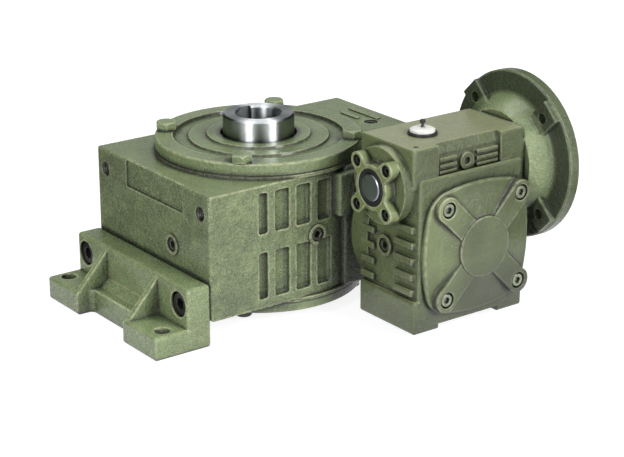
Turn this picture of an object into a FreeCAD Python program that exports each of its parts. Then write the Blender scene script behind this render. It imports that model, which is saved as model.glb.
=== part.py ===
import FreeCAD, Part
import math
import os

# Two-stage worm gear reducer, in millimetres.
# Origin: where the upright output axis meets the mid-plane of the output wheel. +Z is up,
# +X runs from the end block towards the second worm, and -Y towards the first stage.

V = FreeCAD.Vector
UP = V(0, 0, 1)
DOWN = V(0, 0, -1)
LEFT = V(-1, 0, 0)
RIGHT = V(1, 0, 0)
FRONT = V(0, -1, 0)
BACK = V(0, 1, 0)

# Gear pairs: one single-start right-hand worm and its wheel in each stage
second_module = 4.0
second_teeth = 38
second_worm_pitch_dia = 48.0
second_face_width = 28.0
first_module = 3.0
first_teeth = 30
first_worm_pitch_dia = 30.0
first_face_width = 26.0
pressure_angle = math.radians(20)
root_clearance_share = 0.25
flank_clearance = 0.3
worm_half_turns = 3

# Fits
seat_gap = 0.02
running_gap = 0.05
ball_gap = 0.1
screw_gap = 0.1
wheel_room = 2.0

# Output shaft and wheel
output_bore = 42.0
output_key_width = 12.0
output_key_rise = 3.3
nose_dia = 68.0
nose_top = 94.0
shaft_bottom = -74.0
journal_dia = 70.0
hub_seat_dia = 76.0
hub_half = 24.0
hub_wall = 10.0
hub_web_half = 12.0
rim_seat_radius = 58.0
shaft_chamfer = 1.5
hub_rim_wall = 4.0
wheel_key_height = 8.0
wheel_key_length = 40.0
rim_screw_count = 6
rim_screw_radius = 3.0
rim_screw_length = 16.0
spacer_wall = 5.0

# Output bearings and seals
output_bearing_dia = 110.0
output_bearing_width = 20.0
output_seal_dia = 90.0
output_seal_width = 10.0
bottom_seal_width = 8.0

# Main housing
drum_wall = 14.0
half_height = 59.0
end_block_reach = 25.2
worm_box_inner = 70.0
worm_box_outer = 67.5
housing_wall = 9.0
cast_radius = 3.0
ring_height = 3.0
ring_step = 0.5
plate_recess = 1.8
plate_low = 33.0
plate_front = -53.0
plate_back = 43.0
rib_pockets = ((-68.0, -58.0), (-50.0, -34.0), (-26.0, -10.0), (-2.0, 14.0))
pocket_depth = 5.0
upper_pocket = (13.0, 52.0)
lower_pocket = (-50.0, -5.0)
stage_boss_radius = 58.0
stage_boss_length = 10.0
boss_root = 6.0
side_pad = (18.0, 60.0)
side_pad_low = 14.0
side_pad_high = 55.0
side_pad_rise = 8.0
level_plug_x = -2.5
drain_plug_y = -35.0
drain_plug_z = -2.0
plug_boss_radius = 10.0
plug_boss_rise = 1.5
end_pocket_half = 70.0
end_pocket_web = 11.0
worm_chamber_web = 13.0
pocket_corner = 2.5
joint_screw_circle = 92.0
rear_screw_circle = 86.0
bar_rise = 1.5
bar_edge = 0.7
long_bar = (20.0, 14.0, 6.0, 52.0)
short_bar = (35.0, 30.0, 19.0, 46.0)
dowel_dia = 5.0
dowel_depth = 10.0
filler_from_worm = 39.0
filler_y = 4.0

# Covers of the main housing
cover_thickness = 12.0
bottom_cover_thickness = 9.0
cover_bolt_inset = 7.5
cover_rim = 9.0
cover_spigot = 8.0
bearing_sink = 2.0
bearing_boss_wall = 9.0
bearing_guard = 2.0
seal_lip = 5.0
crown_rim = 17.0
crown_groove = 14.0
crown_groove_depth = 3.0
crown_step = 1.0
crown_collar = 5.0
seal_hood = 3.0
seal_hood_gap = 2.5
hole_play = 0.5
cover_bolt_dia = 12.0
bottom_bolt_dia = 10.0
cover_bolt_hold = 22.0
hex_flats = 18.0
hex_height = 7.5
low_head_height = 5.0

# Second worm shaft
worm_journal_dia = 35.0
worm_bearing_dia = 72.0
worm_bearing_width = 17.0
worm_bearing_inset = 17.0
worm_chamber_half = 52.0
worm_shoulder_dia = 44.0
stage_shaft_dia = 32.0
stage_seal_dia = 47.0
stage_seal_width = 7.0
wheel_seat_dia = 28.0
stage_key_width = 8.0
stage_key_height = 7.0
circlip_thickness = 1.5
circlip_groove = 0.7
circlip_width = 4.0
shaft_end = 4.0
thread_run_out = 6.0
first_hub_wall = 9.0
first_hub_overhang = 3.0
rear_cover_radius = 50.0
rear_cover_thickness = 8.0
rear_spigot_wall = 6.0

# First-stage housing
box_left = 73.0
box_right = 58.0
box_above = 39.7
box_bottom = -74.0
box_half_width = 38.0
rear_drum_length = 16.0
rear_drum_radius = 72.0
upper_block_low = 62.0
base_top = -42.0
side_step = 5.0
seat_step = 4.0
core_lap = 10.0
chamber_room = 6.0
worm_room = 6.0
first_plug_shift = 4.0
fin_edge = 1.4
plug_side = 10.0
fin_height = 6.0
fin_pitch = 15.0
fin_count = 5
fin_low = -38.0
back_wall = 12.0
base_recess = 5.5
base_pad = 29.0
panel_depth = 4.5
panel_low = 68.0
panel_high = 91.0
panel_slope = 4.0
panel_boss_radius = 8.0
panel_boss_hole = 6.8
panel_bar_count = 3
panel_bar_pitch = 6.0
panel_bar_height = 3.2
panel_bar_edge = 0.8
panel_bar_gap = 12.0
panel_shift = -10.0
tail_boss_radius = 36.0
tail_boss_length = 8.0

# First-stage cover
first_cover_half = 62.0
first_cover_shift = -4.0
first_cover_corner = 22.0
first_cover_bulge = 4.5
first_cover_plate = 5.0
first_cover_cone = 4.0
first_cover_rib = 5.5
first_cover_boss = 29.0
first_cover_rib_width = 23.0
first_cover_screw = 43.0
first_cover_lug = 12.0
first_cover_edge = 1.5
first_cover_cone_inset = 6.0
first_cover_boss_rise = 0.8
first_cover_floor = 1.0
cap_head_sink = 5.5
cap_head_low = 5.0
cap_head_play = 1.3

# First-stage worm
bearing_step = 3.0
tail_journal_dia = 25.0
tail_bearing_dia = 47.0
tail_bearing_width = 12.0
tail_end_reach = 19.0
tail_cover_thickness = 10.0
tail_cover_pitch = 20.5
tail_cover_lug = 8.0
tail_cover_hub = 21.0
tail_seal_dia = 35.0
tail_seal_width = 7.0
tail_bearing_gap = 3.0
tail_relief = 4.5
tail_head_sink = 6.5
tail_head_low = 4.5
tail_head_play = 0.7
drive_journal_dia = 30.0
drive_bearing_dia = 62.0
drive_bearing_width = 16.0
drive_bearing_inset = 2.0
input_seal_dia = 47.0
input_seal_width = 8.0

# Motor flange
motor_bore = 14.0
motor_bore_depth = 34.0
motor_key_width = 5.0
motor_key_rise = 2.3
flange_radius = 80.0
flange_thickness = 11.7
neck_length = 19.0
neck_root = 47.0
neck_radius = 57.0
neck_fillet = 4.0
pilot_radius = 55.0
pilot_depth = 4.5
flange_hollow = 47.0
flange_floor = 12.0
motor_circle = 130.0
motor_hole_dia = 10.0
motor_pad_width = 23.0
motor_pad_rise = 6.0
motor_pad_edge = 1.5
flange_screw_circle = 78.0

# Foot brackets
foot_plate = 24.9
foot_reach = 59.3
foot_top = -22.4
foot_drop = 23.5
foot_pad_height = 22.3
foot_pad_width = 54.8
foot_front_recess = 17.0
foot_fillet = 9.0
gusset = 6.0
foot_screw_y = 81.0
foot_screw_z = 40.0
foot_screw_dia = 14.0
foot_counterbore = 24.0
foot_hole_dia = 15.0
foot_hole_y = 83.0
foot_hole_reach = 43.5
foot_head_sink = 15.0
foot_head_height = 13.0
foot_hole_play = 0.8
foot_notch_corner = 5.0
foot_web_lap = 2.0
gusset_drop = 3.0

# Screws, plugs and breather
spare_thread = 4.0
foot_screw_hold = 22.0
joint_screw_hold = 18.0
rear_screw_hold = 16.0
cover_screw_hold = 9.0
flange_screw_hold = 14.0
tail_screw_hold = 12.5
head_share = 0.79
m8 = 8.0
m6 = 6.0
plug_radius = 7.0
plug_depth = 9.0
plug_sink = 1.0
breather_radius = 13.0
breather_base = 2.5
breather_cap = 4.0
breather_pin = 7.0
breather_from_worm = 32.0

# Places worked out from the sizes
second_centres = (second_module * second_teeth + second_worm_pitch_dia) / 2
first_centres = (first_module * first_teeth + first_worm_pitch_dia) / 2
second_tip = second_module * (second_teeth / 2 + 1)
first_tip = first_module * (first_teeth / 2 + 1)
first_worm_tip = first_worm_pitch_dia / 2 + first_module
cavity_radius = second_tip + wheel_room
drum_radius = cavity_radius + drum_wall
half_depth = drum_radius
left_face = -(drum_radius + end_block_reach)
right_start = second_centres - worm_box_inner
right_face = second_centres + worm_box_outer
cover_bolt_circle = cavity_radius + cover_bolt_inset
cover_radius = cover_bolt_circle + cover_rim
cover_seat = half_height + ring_height
cover_top = cover_seat + cover_thickness
bottom_cover_face = -(cover_seat + bottom_cover_thickness)
bearing_end = cover_seat - bearing_sink
bearing_start = bearing_end - output_bearing_width
worm_bearing_end = half_depth - worm_bearing_inset
worm_bearing_start = worm_bearing_end - worm_bearing_width
joint_face = -(half_depth + stage_boss_length)
box_back = joint_face - rear_drum_length
stage_plane = box_back - box_half_width
box_front = stage_plane - box_half_width
seat_front = box_front - seat_step
box_x0 = second_centres - box_left
box_x1 = second_centres + box_right
box_top = first_centres + box_above
chamber_radius = first_tip + chamber_room
chamber_back = box_back - back_wall
tail_face = box_x0 - tail_boss_length
tail_end = box_x0 - tail_end_reach
drive_bearing_end = box_x1 - drive_bearing_inset
drive_bearing_start = drive_bearing_end - drive_bearing_width
tail_bearing_start = box_x0 + tail_bearing_gap
tail_bearing_end = tail_bearing_start + tail_bearing_width
flange_back = box_x1 + neck_length
flange_front = flange_back + flange_thickness
pilot_floor = flange_front - pilot_depth
foot_bottom = -(half_height + foot_drop)


# Basic shapes
def box(x0, x1, y0, y1, z0, z1):
    return Part.makeBox(x1 - x0, y1 - y0, z1 - z0, V(x0, y0, z0))


def rounded_box(x0, x1, y0, y1, z0, z1, radius):
    block = box(x0, x1, y0, y1, z0, z1)
    return block.makeFillet(radius, block.Edges)


def rod(start, axis, radius, length):
    return Part.makeCylinder(radius, length, start, axis)


def rod_x(radius, x0, x1, y, z):
    return rod(V(x0, y, z), RIGHT, radius, x1 - x0)


def rod_y(radius, y0, y1, x, z):
    return rod(V(x, y0, z), BACK, radius, y1 - y0)


def rod_z(radius, z0, z1, x=0.0, y=0.0):
    return rod(V(x, y, z0), UP, radius, z1 - z0)


def turned(profile):
    """A solid of revolution about Z from (radius, height) corners."""
    corners = [V(r, 0, z) for r, z in profile]
    wire = Part.makePolygon(corners + [corners[0]])
    return Part.Face(wire).revolve(V(), UP, 360)


def prism(corners, travel):
    """A straight prism from a list of corner points and a travel vector."""
    return Part.Face(Part.makePolygon(corners + [corners[0]])).extrude(travel)


def laid_along_y(shape, x, z):
    """Turn a shape made about Z so that its axis runs along +Y through (x, z)."""
    turned_shape = shape.copy()
    turned_shape.rotate(V(), RIGHT, -90)
    turned_shape.translate(V(x, 0, z))
    return turned_shape


def laid_along_x(shape, y, z):
    """Turn a shape made about Z so that its axis runs along +X through (y, z)."""
    turned_shape = shape.copy()
    turned_shape.rotate(V(), BACK, 90)
    turned_shape.translate(V(0, y, z))
    return turned_shape


def placed(shape, position, axis):
    """Move a shape made about Z to a position, with its axis along the given direction."""
    moved = shape.copy()
    moved.Placement = FreeCAD.Placement(position, FreeCAD.Rotation(UP, axis))
    return moved


def mirrored_in_x(shape, plane_x):
    return shape.mirror(V(plane_x, 0, 0), RIGHT)


def ring_points(radius, count, start_degrees):
    step = 2 * math.pi / count
    start = math.radians(start_degrees)
    return [(radius * math.cos(start + i * step),
             radius * math.sin(start + i * step)) for i in range(count)]


def joined(first, *others):
    return first.fuse(list(others)).removeSplitter()


def cut_away(body, *tools):
    return body.cut(list(tools))


# Fasteners, made about Z with the seat of the head at height 0 and the head above it
def hexagon(flats, z0, z1):
    corners = [V(x, y, z0) for x, y in ring_points(flats / math.sqrt(3), 6, 0)]
    return prism(corners, V(0, 0, z1 - z0))


def hex_bolt(dia, length, flats, height):
    crown = turned([(0, 0), (flats * 0.57, 0), (flats * 0.57, height * 0.75), (flats * 0.47, height),
                    (0, height)])
    head = hexagon(flats, 0, height).common(crown)
    return head.fuse(rod_z(dia / 2 - screw_gap, -length, 0)).removeSplitter()


def cap_screw(dia, length, head_height=None):
    height = head_height or dia
    radius = head_share * dia
    edge = 0.08 * dia
    head = turned([(0, 0), (radius, 0), (radius, height - edge), (radius - edge, height), (0, height)])
    socket = hexagon(0.75 * dia, height * 0.45, height + 1)
    return cut_away(head.fuse(rod_z(dia / 2 - screw_gap, -length, 0)).removeSplitter(), socket)


def socket_plug(radius, depth):
    """A threaded plug whose top is at height 0, with a hexagon socket."""
    body = turned([(0, 0), (radius - 1.4, 0), (radius - screw_gap, -1), (radius - screw_gap, -depth),
                   (0, -depth)])
    return cut_away(body, hexagon(radius * 0.95, -depth * 0.55, 1))


def group(solids):
    return Part.makeCompound(solids)


# Rolling bearings and seals, made about Z and centred on height 0
def bearing(bore_dia, outer_dia, width):
    middle = (bore_dia + outer_dia) / 4
    ball = 0.155 * (outer_dia - bore_dia)
    inner_edge = middle - 0.62 * ball
    outer_edge = middle + 0.62 * ball
    track = Part.makeTorus(middle, ball + ball_gap)
    outer = rod_z(outer_dia / 2 - seat_gap, -width / 2, width / 2).cut(rod_z(outer_edge, -width, width))
    inner = rod_z(inner_edge, -width / 2, width / 2).cut(rod_z(bore_dia / 2 + seat_gap, -width, width))
    count = int(2 * math.pi * middle / (2.6 * ball))
    balls = [Part.makeSphere(ball, V(x, y, 0)) for x, y in ring_points(middle, count, 0)]
    return outer.cut(track), inner.cut(track), group(balls)


def lip_seal(bore_dia, outer_dia, width):
    inner = bore_dia / 2 + running_gap
    outer = outer_dia / 2 - seat_gap
    half = width / 2
    wall = 0.2 * (outer - inner)
    return turned([(outer, -half), (outer, half), (inner + 2.2 * wall, half),
                   (inner + wall, half - 0.25 * width),
                   (inner, half - 0.3 * width), (inner, half - 0.55 * width),
                   (inner + 2 * wall, half - 0.65 * width),
                   (outer - wall, half - 0.65 * width), (outer - wall, -half)])


# Gears
def worm_thread(module, pitch_dia):
    """A single right-hand thread about Z, with a crest on the +X side at height 0."""
    pitch = math.pi * module
    root = pitch_dia / 2 - module * (1 + root_clearance_share)
    tip = pitch_dia / 2 + module
    sink = 0.4
    slope = math.tan(pressure_angle)
    root_half = pitch / 4 + (pitch_dia / 2 - root + sink) * slope
    tip_half = pitch / 4 - module * slope
    low = -worm_half_turns * pitch
    corners = [V(root - sink, 0, low - root_half), V(tip, 0, low - tip_half),
               V(tip, 0, low + tip_half), V(root - sink, 0, low + root_half)]
    section = Part.makePolygon(corners + [corners[0]])
    path = Part.makeHelix(pitch, 2 * worm_half_turns * pitch, pitch_dia / 2)
    path.translate(V(0, 0, low))
    return Part.Wire(path.Edges).makePipeShell([section], True, True)


def involute_gap(module, teeth, radius):
    """Half the width of a tooth gap at a radius of the wheel."""
    pitch_radius = module * teeth / 2
    base = pitch_radius * math.cos(pressure_angle)
    angle = math.acos(min(1.0, base / radius))
    swing = math.tan(pressure_angle) - pressure_angle - math.tan(angle) + angle
    tooth_half = math.pi / (2 * teeth) + swing
    return radius * (math.pi / teeth - tooth_half) + flank_clearance


def toothed_rim(module, teeth, worm_pitch_dia, inner_radius, width):
    """A wheel rim about Z with slanted teeth and a tooth gap on the +X side."""
    pitch_radius = module * teeth / 2
    tip = pitch_radius + module
    root = pitch_radius - module * (1 + root_clearance_share)
    rim = rod_z(tip, -width / 2, width / 2).cut(rod_z(inner_radius, -width, width))
    slant = module / worm_pitch_dia
    lead = width * slant / 2
    over = 1.0
    root_half = involute_gap(module, teeth, root)
    pitch_half = involute_gap(module, teeth, pitch_radius)
    tip_half = involute_gap(module, teeth, tip + over)
    sides = ((root, root_half), (pitch_radius, pitch_half), (tip + over, tip_half))
    corners = [V(r, h - lead, -width / 2) for r, h in sides]
    corners += [V(r, -h - lead, -width / 2) for r, h in reversed(sides)]
    gap = prism(corners, V(0, 2 * lead, width))
    gaps = []
    for i in range(teeth):
        copy = gap.copy()
        copy.rotate(V(), UP, 360.0 * i / teeth)
        gaps.append(copy)
    return rim.cut(gaps)


# Main housing
def main_housing():
    outline = Part.Wire([
        Part.makeLine(V(0, half_depth, -half_height), V(left_face, half_depth, -half_height)),
        Part.makeLine(V(left_face, half_depth, -half_height), V(left_face, -half_depth, -half_height)),
        Part.makeLine(V(left_face, -half_depth, -half_height), V(0, -half_depth, -half_height)),
        Part.Arc(V(0, -half_depth, -half_height), V(drum_radius, 0, -half_height),
                 V(0, half_depth, -half_height)).toShape()])
    shell = Part.Face(outline).extrude(V(0, 0, 2 * half_height))
    corners = [e for e in shell.Edges if e.BoundBox.XMax < left_face + 1]
    shell = shell.makeFillet(cast_radius, corners)
    worm_box = rounded_box(right_start, right_face, -half_depth, half_depth, -half_height, half_height,
                           cast_radius)
    ring_radius = cover_radius + ring_step
    rings = [rod_z(ring_radius, half_height - ring_step, cover_seat),
             rod_z(ring_radius, -cover_seat, -half_height + ring_step)]
    stage_boss = rod_y(stage_boss_radius, joint_face, -half_depth + boss_root, second_centres, 0)
    pad = rounded_box(side_pad[0], side_pad[1], -half_depth - side_pad_rise, -half_depth + 2 * boss_root,
                      side_pad_low, side_pad_high, pocket_corner)
    plug_boss = rod_y(plug_boss_radius, -half_depth - plug_boss_rise, -half_depth + boss_root,
                      level_plug_x, 0)
    drain_boss = rod_x(plug_boss_radius, left_face - plug_boss_rise, left_face + boss_root, drain_plug_y,
                       drain_plug_z)
    body = joined(shell, worm_box, stage_boss, pad, plug_boss, drain_boss, *rings, *top_bars())
    return cut_away(body, *housing_hollows(), *housing_pockets(), *housing_holes())


def top_bars():
    """Raised bars on the flat top over the second worm."""
    low = half_height - bar_rise
    high = half_height + bar_rise
    bars = []
    for outer, inner, front, back in (short_bar, long_bar):
        bars.append(rounded_box(right_face - outer, right_face - inner, front, back, low, high, bar_edge))
    return bars


def housing_hollows():
    pocket_high = half_height - end_pocket_web
    chamber_high = half_height - worm_chamber_web
    return [rod_z(cavity_radius, -cover_seat - 1, cover_seat + 1),
            box(left_face + housing_wall, boss_root - cavity_radius, -end_pocket_half, end_pocket_half,
                -pocket_high,
                pocket_high),
            box(0, right_face - housing_wall, -worm_chamber_half, worm_chamber_half, -chamber_high,
                chamber_high),
            rod_y(worm_bearing_dia / 2, joint_face - 1, half_depth + 1, second_centres, 0),
            box(left_face - 1, left_face + plate_recess, plate_front, plate_back, plate_low,
                half_height + 1)]


def housing_pockets():
    """Shallow pockets that leave upright ribs on the front and the back of the drum."""
    pockets = []
    for x0, x1 in rib_pockets:
        for low, high in (upper_pocket, lower_pocket):
            pocket = rounded_box(x0, x1, -half_depth - 2 * pocket_depth, -half_depth + pocket_depth, low,
                                 high,
                                 pocket_corner)
            pockets += [pocket, pocket.mirror(V(), BACK)]
    return pockets


def housing_holes():
    holes = []
    for x, y in ring_points(cover_bolt_circle, 4, 45):
        for side, dia in ((UP, cover_bolt_dia), (DOWN, bottom_bolt_dia)):
            depth = cover_bolt_hold + spare_thread
            holes.append(rod(V(x, y, 0) + side * cover_seat, side * -1, dia / 2, depth))
    foot_depth = foot_screw_hold + spare_thread
    for y in (-foot_screw_y, foot_screw_y):
        holes.append(rod(V(left_face, y, foot_screw_z), RIGHT, foot_screw_dia / 2, foot_depth))
        for face, inward in ((left_face, RIGHT), (right_face, LEFT)):
            holes.append(rod(V(face, y, -foot_screw_z), inward, foot_screw_dia / 2, foot_depth))
    for x, z in ring_points(joint_screw_circle / 2, 4, 45):
        holes.append(rod_y(m8 / 2, joint_face, joint_face + joint_screw_hold + spare_thread,
                           second_centres + x, z))
    for x, z in ring_points(rear_screw_circle / 2, 4, 45):
        holes.append(rod_y(m8 / 2, half_depth - rear_screw_hold - spare_thread, half_depth,
                           second_centres + x, z))
    plug_room = plug_depth + spare_thread
    dowel_x = second_centres + wheel_room + filler_from_worm / 2
    holes.append(rod_z(plug_radius, half_height - plug_room, half_height + 1, *filler_place))
    holes.append(rod_z(dowel_dia / 2, half_height - dowel_depth, half_height + 1, dowel_x,
                       -filler_from_worm / 1.5))
    holes.append(rod_y(plug_radius, -half_depth - plug_boss_rise - 1, -cavity_radius, level_plug_x, 0))
    holes.append(rod_x(plug_radius, left_face - plug_boss_rise - 1, left_face + plug_room, drain_plug_y,
                       drain_plug_z))
    return holes


filler_place = (second_centres + filler_from_worm, filler_y)


# Covers of the output bearings, made for the top and turned over for the bottom
def bearing_cover(thickness, seal_width, bolt_dia, stepped):
    face = cover_seat + thickness
    seal_floor = face - seal_width
    seal_radius = output_seal_dia / 2
    bearing_radius = output_bearing_dia / 2
    boss = bearing_radius + bearing_boss_wall
    spigot = cavity_radius - running_gap
    crown = [(cover_radius, face - 1), (cover_radius - 1, face)]
    if stepped:
        groove_rim = cover_radius - crown_rim
        groove_end = groove_rim - crown_groove
        collar = seal_radius + crown_collar
        hood = nose_dia / 2 + seal_hood_gap
        hood_floor = face + crown_step - seal_hood
        crown += [(groove_rim, face), (groove_rim - 1, face - crown_groove_depth),
                  (groove_end, face - crown_groove_depth), (groove_end - 1, face - crown_step),
                  (collar, face - crown_step), (collar - 1, face + crown_step), (hood, face + crown_step),
                  (hood, hood_floor), (seal_radius, hood_floor), (seal_radius, bearing_end)]
    else:
        lip = seal_radius - seal_lip
        crown += [(seal_radius, face), (seal_radius, seal_floor), (lip, seal_floor), (lip, bearing_end)]
    profile = [(cover_radius - 0.6, cover_seat), (cover_radius, cover_seat + 0.6)] + crown
    guard = bearing_start - bearing_guard
    profile += [(bearing_radius, bearing_end), (bearing_radius, guard), (boss, guard),
                (boss, cover_seat - cover_spigot), (spigot, cover_seat - cover_spigot),
                (spigot, cover_seat)]
    holes = [rod_z(bolt_dia / 2 + hole_play, cover_seat - 1, face + 1, x, y)
             for x, y in ring_points(cover_bolt_circle, 4, 45)]
    return cut_away(turned(profile), *holes)


def turned_over(shape):
    flipped = shape.copy()
    flipped.rotate(V(), RIGHT, 180)
    return flipped


def bolts_round(bolt, height, side):
    return group([placed(bolt, V(x, y, height), side) for x, y in ring_points(cover_bolt_circle, 4, 45)])


# Output shaft and wheel
def output_shaft():
    bore = output_bore / 2
    nose = nose_dia / 2
    journal = journal_dia / 2
    seat = hub_seat_dia / 2
    edge = shaft_chamfer
    profile = [(bore + edge, shaft_bottom), (nose - edge, shaft_bottom), (nose, shaft_bottom + edge),
               (nose, -cover_seat), (journal, -cover_seat), (journal, -hub_half), (seat, -hub_half),
               (seat, hub_half), (journal, hub_half), (journal, cover_seat), (nose, cover_seat),
               (nose, nose_top - edge), (nose - edge, nose_top), (bore + edge, nose_top),
               (bore, nose_top - edge),
               (bore, shaft_bottom + edge)]
    half = output_key_width / 2
    keyway = box(-half, half, 0, bore + output_key_rise, shaft_bottom - 1, nose_top + 1)
    return cut_away(turned(profile), keyway, wheel_key_block(seat_gap))


def wheel_key_block(gap):
    seat = hub_seat_dia / 2
    half = output_key_width / 2 + gap
    rise = wheel_key_height / 2 + gap
    length = wheel_key_length / 2 + gap
    return box(seat - rise, seat + rise, -half, half, -length, length)


def rim_screw_set(radius, length):
    return [rod_z(radius, -length / 2, length / 2, x, y)
            for x, y in ring_points(rim_seat_radius, rim_screw_count, 30)]


def output_wheel_hub():
    seat = hub_seat_dia / 2 + seat_gap
    sleeve = hub_seat_dia / 2 + hub_wall
    rim = rim_seat_radius - seat_gap
    web = second_face_width / 2
    land = rim - hub_rim_wall
    profile = [(seat, -hub_half), (sleeve, -hub_half), (sleeve, -hub_web_half), (land, -hub_web_half),
               (land, -web), (rim, -web), (rim, web), (land, web), (land, hub_web_half),
               (sleeve, hub_web_half), (sleeve, hub_half), (seat, hub_half)]
    screws = rim_screw_set(rim_screw_radius, second_face_width + 2)
    return cut_away(turned(profile), wheel_key_block(seat_gap), *screws)


def output_wheel_rim():
    rim = toothed_rim(second_module, second_teeth, second_worm_pitch_dia, rim_seat_radius,
                      second_face_width)
    return rim.cut(rim_screw_set(rim_screw_radius, second_face_width + 2))


def output_spacer():
    inner = journal_dia / 2 + seat_gap
    sleeve = rod_z(inner + spacer_wall, hub_half, bearing_start)
    return sleeve.cut(rod_z(inner, hub_half - 1, bearing_start + 1))


# Second worm shaft, made about Z and laid along +Y
wheel_seat_start = stage_plane + first_face_width / 2 + first_hub_overhang
wheel_seat_end = stage_plane - first_face_width / 2 - first_hub_overhang


def second_worm():
    root = second_worm_pitch_dia / 2 - second_module * (1 + root_clearance_share)
    journal = worm_journal_dia / 2
    shoulder = worm_shoulder_dia / 2
    run_out = worm_half_turns * math.pi * second_module + thread_run_out
    wheel_seat = wheel_seat_dia / 2
    stage = stage_shaft_dia / 2
    clip = wheel_seat_end - circlip_thickness
    end = clip - shaft_end
    groove = wheel_seat - circlip_groove
    profile = [(0, end), (wheel_seat - 1, end), (wheel_seat, end + 1), (wheel_seat, clip), (groove, clip),
               (groove, wheel_seat_end), (wheel_seat, wheel_seat_end),
               (wheel_seat, wheel_seat_start), (stage, wheel_seat_start), (stage, -worm_bearing_end),
               (journal, -worm_bearing_end), (journal, -worm_bearing_start),
               (shoulder, -worm_bearing_start),
               (shoulder, -run_out), (root, -run_out), (root, run_out), (shoulder, run_out),
               (shoulder, worm_bearing_start), (journal, worm_bearing_start),
               (journal, worm_bearing_end + 2),
               (journal - 1, worm_bearing_end + 3), (0, worm_bearing_end + 3)]
    thread = worm_thread(second_module, second_worm_pitch_dia)
    thread.rotate(V(), UP, 180)
    shaft = laid_along_y(turned(profile).fuse(thread), second_centres, 0)
    return cut_away(shaft, first_wheel_key(seat_gap))


def first_wheel_key(gap):
    seat = wheel_seat_dia / 2
    half = stage_key_width / 2 + gap
    low = seat - stage_key_height / 2 - gap
    high = seat + stage_key_height / 2 + gap
    length = first_face_width / 2 - 1 + gap
    return box(second_centres - half, second_centres + half, stage_plane - length, stage_plane + length,
               low, high)


def first_stage_wheel():
    hub = wheel_seat_dia / 2 + seat_gap
    wide = first_face_width / 2 + first_hub_overhang
    rim = toothed_rim(first_module, first_teeth, first_worm_pitch_dia, hub, first_face_width)
    boss = rod_z(hub + first_hub_wall, -wide, wide).cut(rod_z(hub, -wide - 1, wide + 1))
    wheel = rim.fuse(boss).removeSplitter()
    wheel.rotate(V(), UP, -90)
    wheel.translate(V(0, 0, stage_plane))
    return cut_away(laid_along_y(wheel, second_centres, 0), first_wheel_key(seat_gap))


def wheel_circlip():
    inner = wheel_seat_dia / 2 - circlip_groove + seat_gap
    outer = inner + circlip_width
    clip = wheel_seat_end - circlip_thickness
    ring = rod_y(outer, clip, wheel_seat_end, second_centres, 0)
    hole = rod_y(inner, clip - 1, wheel_seat_end + 1, second_centres, 0)
    gap = box(second_centres - circlip_width, second_centres + circlip_width, clip - 1, wheel_seat_end + 1,
              -outer, 0)
    return cut_away(ring, hole, gap)


def rear_worm_cover():
    spigot = worm_bearing_dia / 2 - running_gap
    face = half_depth + rear_cover_thickness
    profile = [(0, face), (rear_cover_radius - 2, face), (rear_cover_radius, face - 2),
               (rear_cover_radius, half_depth),
               (spigot, half_depth), (spigot, worm_bearing_end),
               (spigot - rear_spigot_wall, worm_bearing_end),
               (spigot - rear_spigot_wall, half_depth), (0, half_depth)]
    holes = [rod_z(m8 / 2 + hole_play, half_depth - 1, face + 1, x, y)
             for x, y in ring_points(rear_screw_circle / 2, 4, 45)]
    return laid_along_y(cut_away(turned(profile), *holes), second_centres, 0)


def rear_cover_screws():
    face = half_depth + rear_cover_thickness
    screw = cap_screw(m8, rear_cover_thickness + rear_screw_hold)
    places = ring_points(rear_screw_circle / 2, 4, 45)
    return group([placed(screw, V(second_centres + x, face, z), BACK) for x, z in places])


# First-stage housing
def first_stage_housing():
    core = rounded_box(box_x0 + side_step, box_x1 - side_step, seat_front, box_back, box_bottom + core_lap,
                       upper_block_low + core_lap, cast_radius)
    upper = rounded_box(box_x0, box_x1, box_front, box_back, upper_block_low, box_top, cast_radius)
    base = rounded_box(box_x0, box_x1, seat_front, box_back, box_bottom, base_top, cast_radius)
    drum = rod_y(rear_drum_radius, box_back - core_lap, joint_face, second_centres, 0)
    drum = drum.makeFillet(cast_radius, [e for e in drum.Edges if e.BoundBox.YMin > joint_face - 1])
    drum = drum.cut(box(box_x1 - side_step, box_x1 + rear_drum_radius, box_front, 0, -rear_drum_radius,
                        rear_drum_radius))
    spigot = rod_y(worm_bearing_dia / 2 - running_gap, joint_face - 1, -worm_bearing_end, second_centres, 0)
    tail_boss = rod_x(tail_boss_radius, tail_face, box_x0 + core_lap, stage_plane, first_centres)
    plug_boss = rod_x(plug_boss_radius, box_x0 + 1, box_x0 + core_lap, stage_plane + first_plug_shift, 0)
    drive_boss = rod_x(neck_root - 1, box_x1 - core_lap, box_x1, stage_plane, first_centres)
    drive_boss = drive_boss.common(box(box_x0, box_x1, box_front, box_back, box_bottom, box_top))
    body = joined(core, upper, base, drum, spigot, tail_boss, plug_boss, drive_boss, *side_fins())
    body = cut_away(body, *first_stage_hollows(), front_panel(), *first_stage_holes())
    return joined(body, *panel_ribs())


def side_fins():
    """Level cooling bars on the end wall, in two columns beside the plug."""
    fins = []
    for i in range(fin_count):
        low = fin_low + i * fin_pitch
        for y0, y1 in ((box_front + 1, stage_plane - plug_side),
                       (stage_plane + 1.8 * plug_side, box_back - 1)):
            fins.append(rounded_box(box_x0, box_x0 + core_lap, y0, y1, low, low + fin_height, fin_edge))
    return fins


def front_panel():
    """Recess on the front of the worm tunnel, with a sloping top."""
    deep = box_front + panel_depth
    start = box_x0 + base_pad
    corners = [V(start, box_front - 1, box_top + 1), V(start, deep + panel_slope, box_top + 1),
               V(start, deep, panel_high), V(start, deep, panel_low),
               V(start, box_front - 1, panel_low - panel_slope)]
    return prism(corners, V(box_x1 - base_pad - start, 0, 0))


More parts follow.
